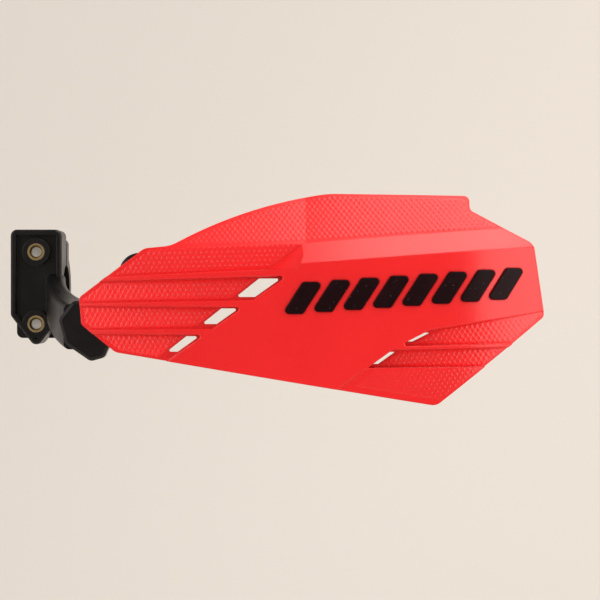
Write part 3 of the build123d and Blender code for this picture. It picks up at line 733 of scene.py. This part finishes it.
class HANDGUARD_OT_texture(Operator):
    """Diamond texture on the louvre panels and the visor"""

    bl_idname = "handguard.texture"
    bl_label = "Diamond texture"

    def execute(self, context):
        look = context.scene.guard_texture
        self.inboard(look)
        self.outboard(look)
        self.studs(look)
        self.visor(look)
        return {"FINISHED"}

    def inboard(self, look):
        """A net between the inboard ribs and one above them, both turning into plain knots outboard."""
        ends = [bound(line, "end") for line in (RIM_UPPER, RIM_END, RIM_HEEL)]
        vent = bound(VENT_EDGE, "vent")
        louvres = (
            [bound(rib_edge(0, True), "rib"), bound(rib_edge(1, False), "rib"), vent],
            [bound(rib_edge(1, True), "rib"), bound(rib_edge(2, False), "rib"), vent],
            [bound(rib_edge(2, True), "rib"), bound(RIM_KEEL, "rim"), vent],
        )
        net = Net(
            corner=(INBOARD_X, -30.0),
            span=(100.0, 50.0),
            rise=1.2,
            row=look.row,
            height=look.height,
            ridge=look.ridge,
            lines=look.lines,
        )
        sheets = [net_sheet(inboard_floor_y, louvre + ends, net, look) for louvre in louvres]
        add_skin("inboard_louvre_texture", joined(sheets), shield_louvre)

        upper = [bound(line, "crease") for line in (RAMP, reverse(VISOR_CREASE))]
        upper.append(bound(rib_edge(0, False), "rib"))
        net = net._replace(lines=look.upper_lines)
        add_skin("inboard_texture", net_sheet(inboard_floor_y, upper + ends, net, look), shield_texture)

    def outboard(self, look):
        """A net beside the outboard vents, whose lines grow and whose height drops outboard."""
        rims = [bound(line, "rim") for line in (RIM_OUTBOARD, RIM_SIDE)]
        louvres = (
            [bound(PLATEAU_CREASE, "crease"), bound(OUTBOARD_RIB_HIGH, "rib"), bound(SLIT_UPPER, "vent")],
            [bound(OUTBOARD_RIB_LOW, "rib"), bound(PANEL_EDGE_UP, "rib"), bound(SLIT_LOWER, "vent")],
        )
        net = Net(
            corner=(OUTBOARD_X - 80.0, -40.0),
            span=(85.0, 35.0),
            rise=6.5,
            row=look.outboard_row,
            height=look.height,
            ridge=look.ridge,
            lines=look.outboard_lines,
        )
        dropping = along_x((OUTBOARD_X - 55.0, OUTBOARD_X - 8.0), (1.0, 0.34))
        sheets = [net_sheet(outboard_floor_y, louvre + rims, net, look, dropping) for louvre in louvres]
        add_skin("outboard_louvre_texture", joined(sheets), shield_louvre)

    def studs(self, look):
        """Studs on the lowest outboard panel, which grow with the distance from its start and its keel."""
        start, keel = line_distance(*PANEL_START), line_distance(*RIM_KEEL)
        start_reach, keel_reach = 26.0, 9.0

        def growing(x, z):
            return np.clip(start(x, z) / start_reach, 0, 1) * np.clip(keel(x, z) / keel_reach, 0, 1)

        bounds = [bound(line, "rim") for line in (RIM_OUTBOARD, RIM_SIDE)]
        bounds += [bound(line, "fade") for line in (PANEL_START, RIM_KEEL)]
        bounds.append(bound(reverse(PANEL_EDGE_UP), "rib"))
        net = Net(
            corner=(OUTBOARD_X - 105.0, -60.0),
            span=(110.0, 40.0),
            rise=5.6,
            row=look.stud_row,
            height=look.stud_height,
            ridge=look.stud,
            lines=(0.0, 0.0),
        )
        add_skin("panel_studs", net_sheet(panel_y, bounds, net, look, growing), shield_relief)

    def visor(self, look):
        """A finer net on the visor, which rises outboard."""
        crown_end, notch = bound(RIM_CROWN_END, "rim"), bound(RIM_NOTCH, "rim")

        def corner(x, z):
            return np.maximum(crown_end(x, z), notch(x, z))

        bounds = [bound(line, "crease") for line in (VISOR_CREASE, BEVEL_CREASE)]
        bounds += [bound(RIM_CROWN, "rim"), crown_bound, corner]
        net = Net(
            corner=(INBOARD_X + 25.0, 10.0),
            span=(180.0, 40.0),
            rise=3.7,
            row=look.visor_row,
            height=look.visor_height,
            ridge=look.visor_ridge,
            lines=look.visor_lines,
        )
        rising = along_x((OUTBOARD_X - 105.0, OUTBOARD_X - 35.0), (0.85, 2.2))
        add_skin("visor_texture", net_sheet(visor_y, bounds, net, look, rising), shield_texture)


class HANDGUARD_OT_marks(Operator):
    """Ejector marks on the back of the plateau"""

    bl_idname = "handguard.marks"
    bl_label = "Ejector marks"

    def execute(self, context):
        inboard_x = INBOARD_X + np.array((83.0, 83.0, 111.0, 111.0, 111.0))
        outboard_x = OUTBOARD_X - np.array((62.0, 62.0, 34.0, 18.0))
        x = np.concatenate((inboard_x, outboard_x))
        z = np.array((-8.0, -26.0, 2.0, -16.0, -34.0, 4.0, -14.0, 4.0, 6.0))
        radius, height = 2.5, 0.15
        discs = [disc_sheet(back_y, spot, radius, height) for spot in zip(x, z)]
        add_skin("ejector_marks", joined(discs), shield_relief)
        return {"FINISHED"}


class HANDGUARD_OT_rubber(Operator):
    """Black rubber on the pads"""

    bl_idname = "handguard.rubber"
    bl_label = "Rubber pads"

    def execute(self, context):
        give(pad_rubber, ["rubber_inlay"])
        return {"FINISHED"}


class HANDGUARD_OT_mount(Operator):
    """Black nylon on the arm and the clamp's cap"""

    bl_idname = "handguard.mount"
    bl_label = "Arm and clamp"

    def execute(self, context):
        give(arm_nylon, ["mount_arm", "clamp_cap"])
        return {"FINISHED"}


class HANDGUARD_OT_fasteners(Operator):
    """Plated steel on screws, washers and sleeves, and brass on the inserts"""

    bl_idname = "handguard.fasteners"
    bl_label = "Fasteners"

    def execute(self, context):
        give(turned_brass, [name for name in nodes if "insert" in name])
        for kind in ("screw", "washer", "sleeve"):
            give(plated_steel, [name for name in nodes if kind in name])
        return {"FINISHED"}


class HANDGUARD_PT_panel(Panel):
    """Hand guard tools"""

    bl_idname = "HANDGUARD_PT_panel"
    bl_label = "Hand guard"
    bl_space_type = "VIEW_3D"
    bl_region_type = "UI"
    bl_category = "Hand guard"

    def draw(self, context):
        for step in STEPS:
            self.layout.operator(step.bl_idname)


STEPS = (
    HANDGUARD_OT_stage,
    HANDGUARD_OT_shield,
    HANDGUARD_OT_texture,
    HANDGUARD_OT_marks,
    HANDGUARD_OT_rubber,
    HANDGUARD_OT_mount,
    HANDGUARD_OT_fasteners,
)
GROUPS = {"guard_texture": GuardTexture, "guard_finish": GuardFinish, "guard_stage": GuardStage}
CLASSES = (*GROUPS.values(), *STEPS, HANDGUARD_PT_panel)


def register():
    for each in CLASSES:
        bpy.utils.register_class(each)
    for name, group in GROUPS.items():
        setattr(bpy.types.Scene, name, PointerProperty(type=group))


def unregister():
    for name in GROUPS:
        delattr(bpy.types.Scene, name)
    for each in reversed(CLASSES):
        bpy.utils.unregister_class(each)


def main():
    register()
    for step in STEPS:
        name = step.bl_idname.split(".")[1]
        getattr(bpy.ops.handguard, name)()


if __name__ == "__main__":
    main()
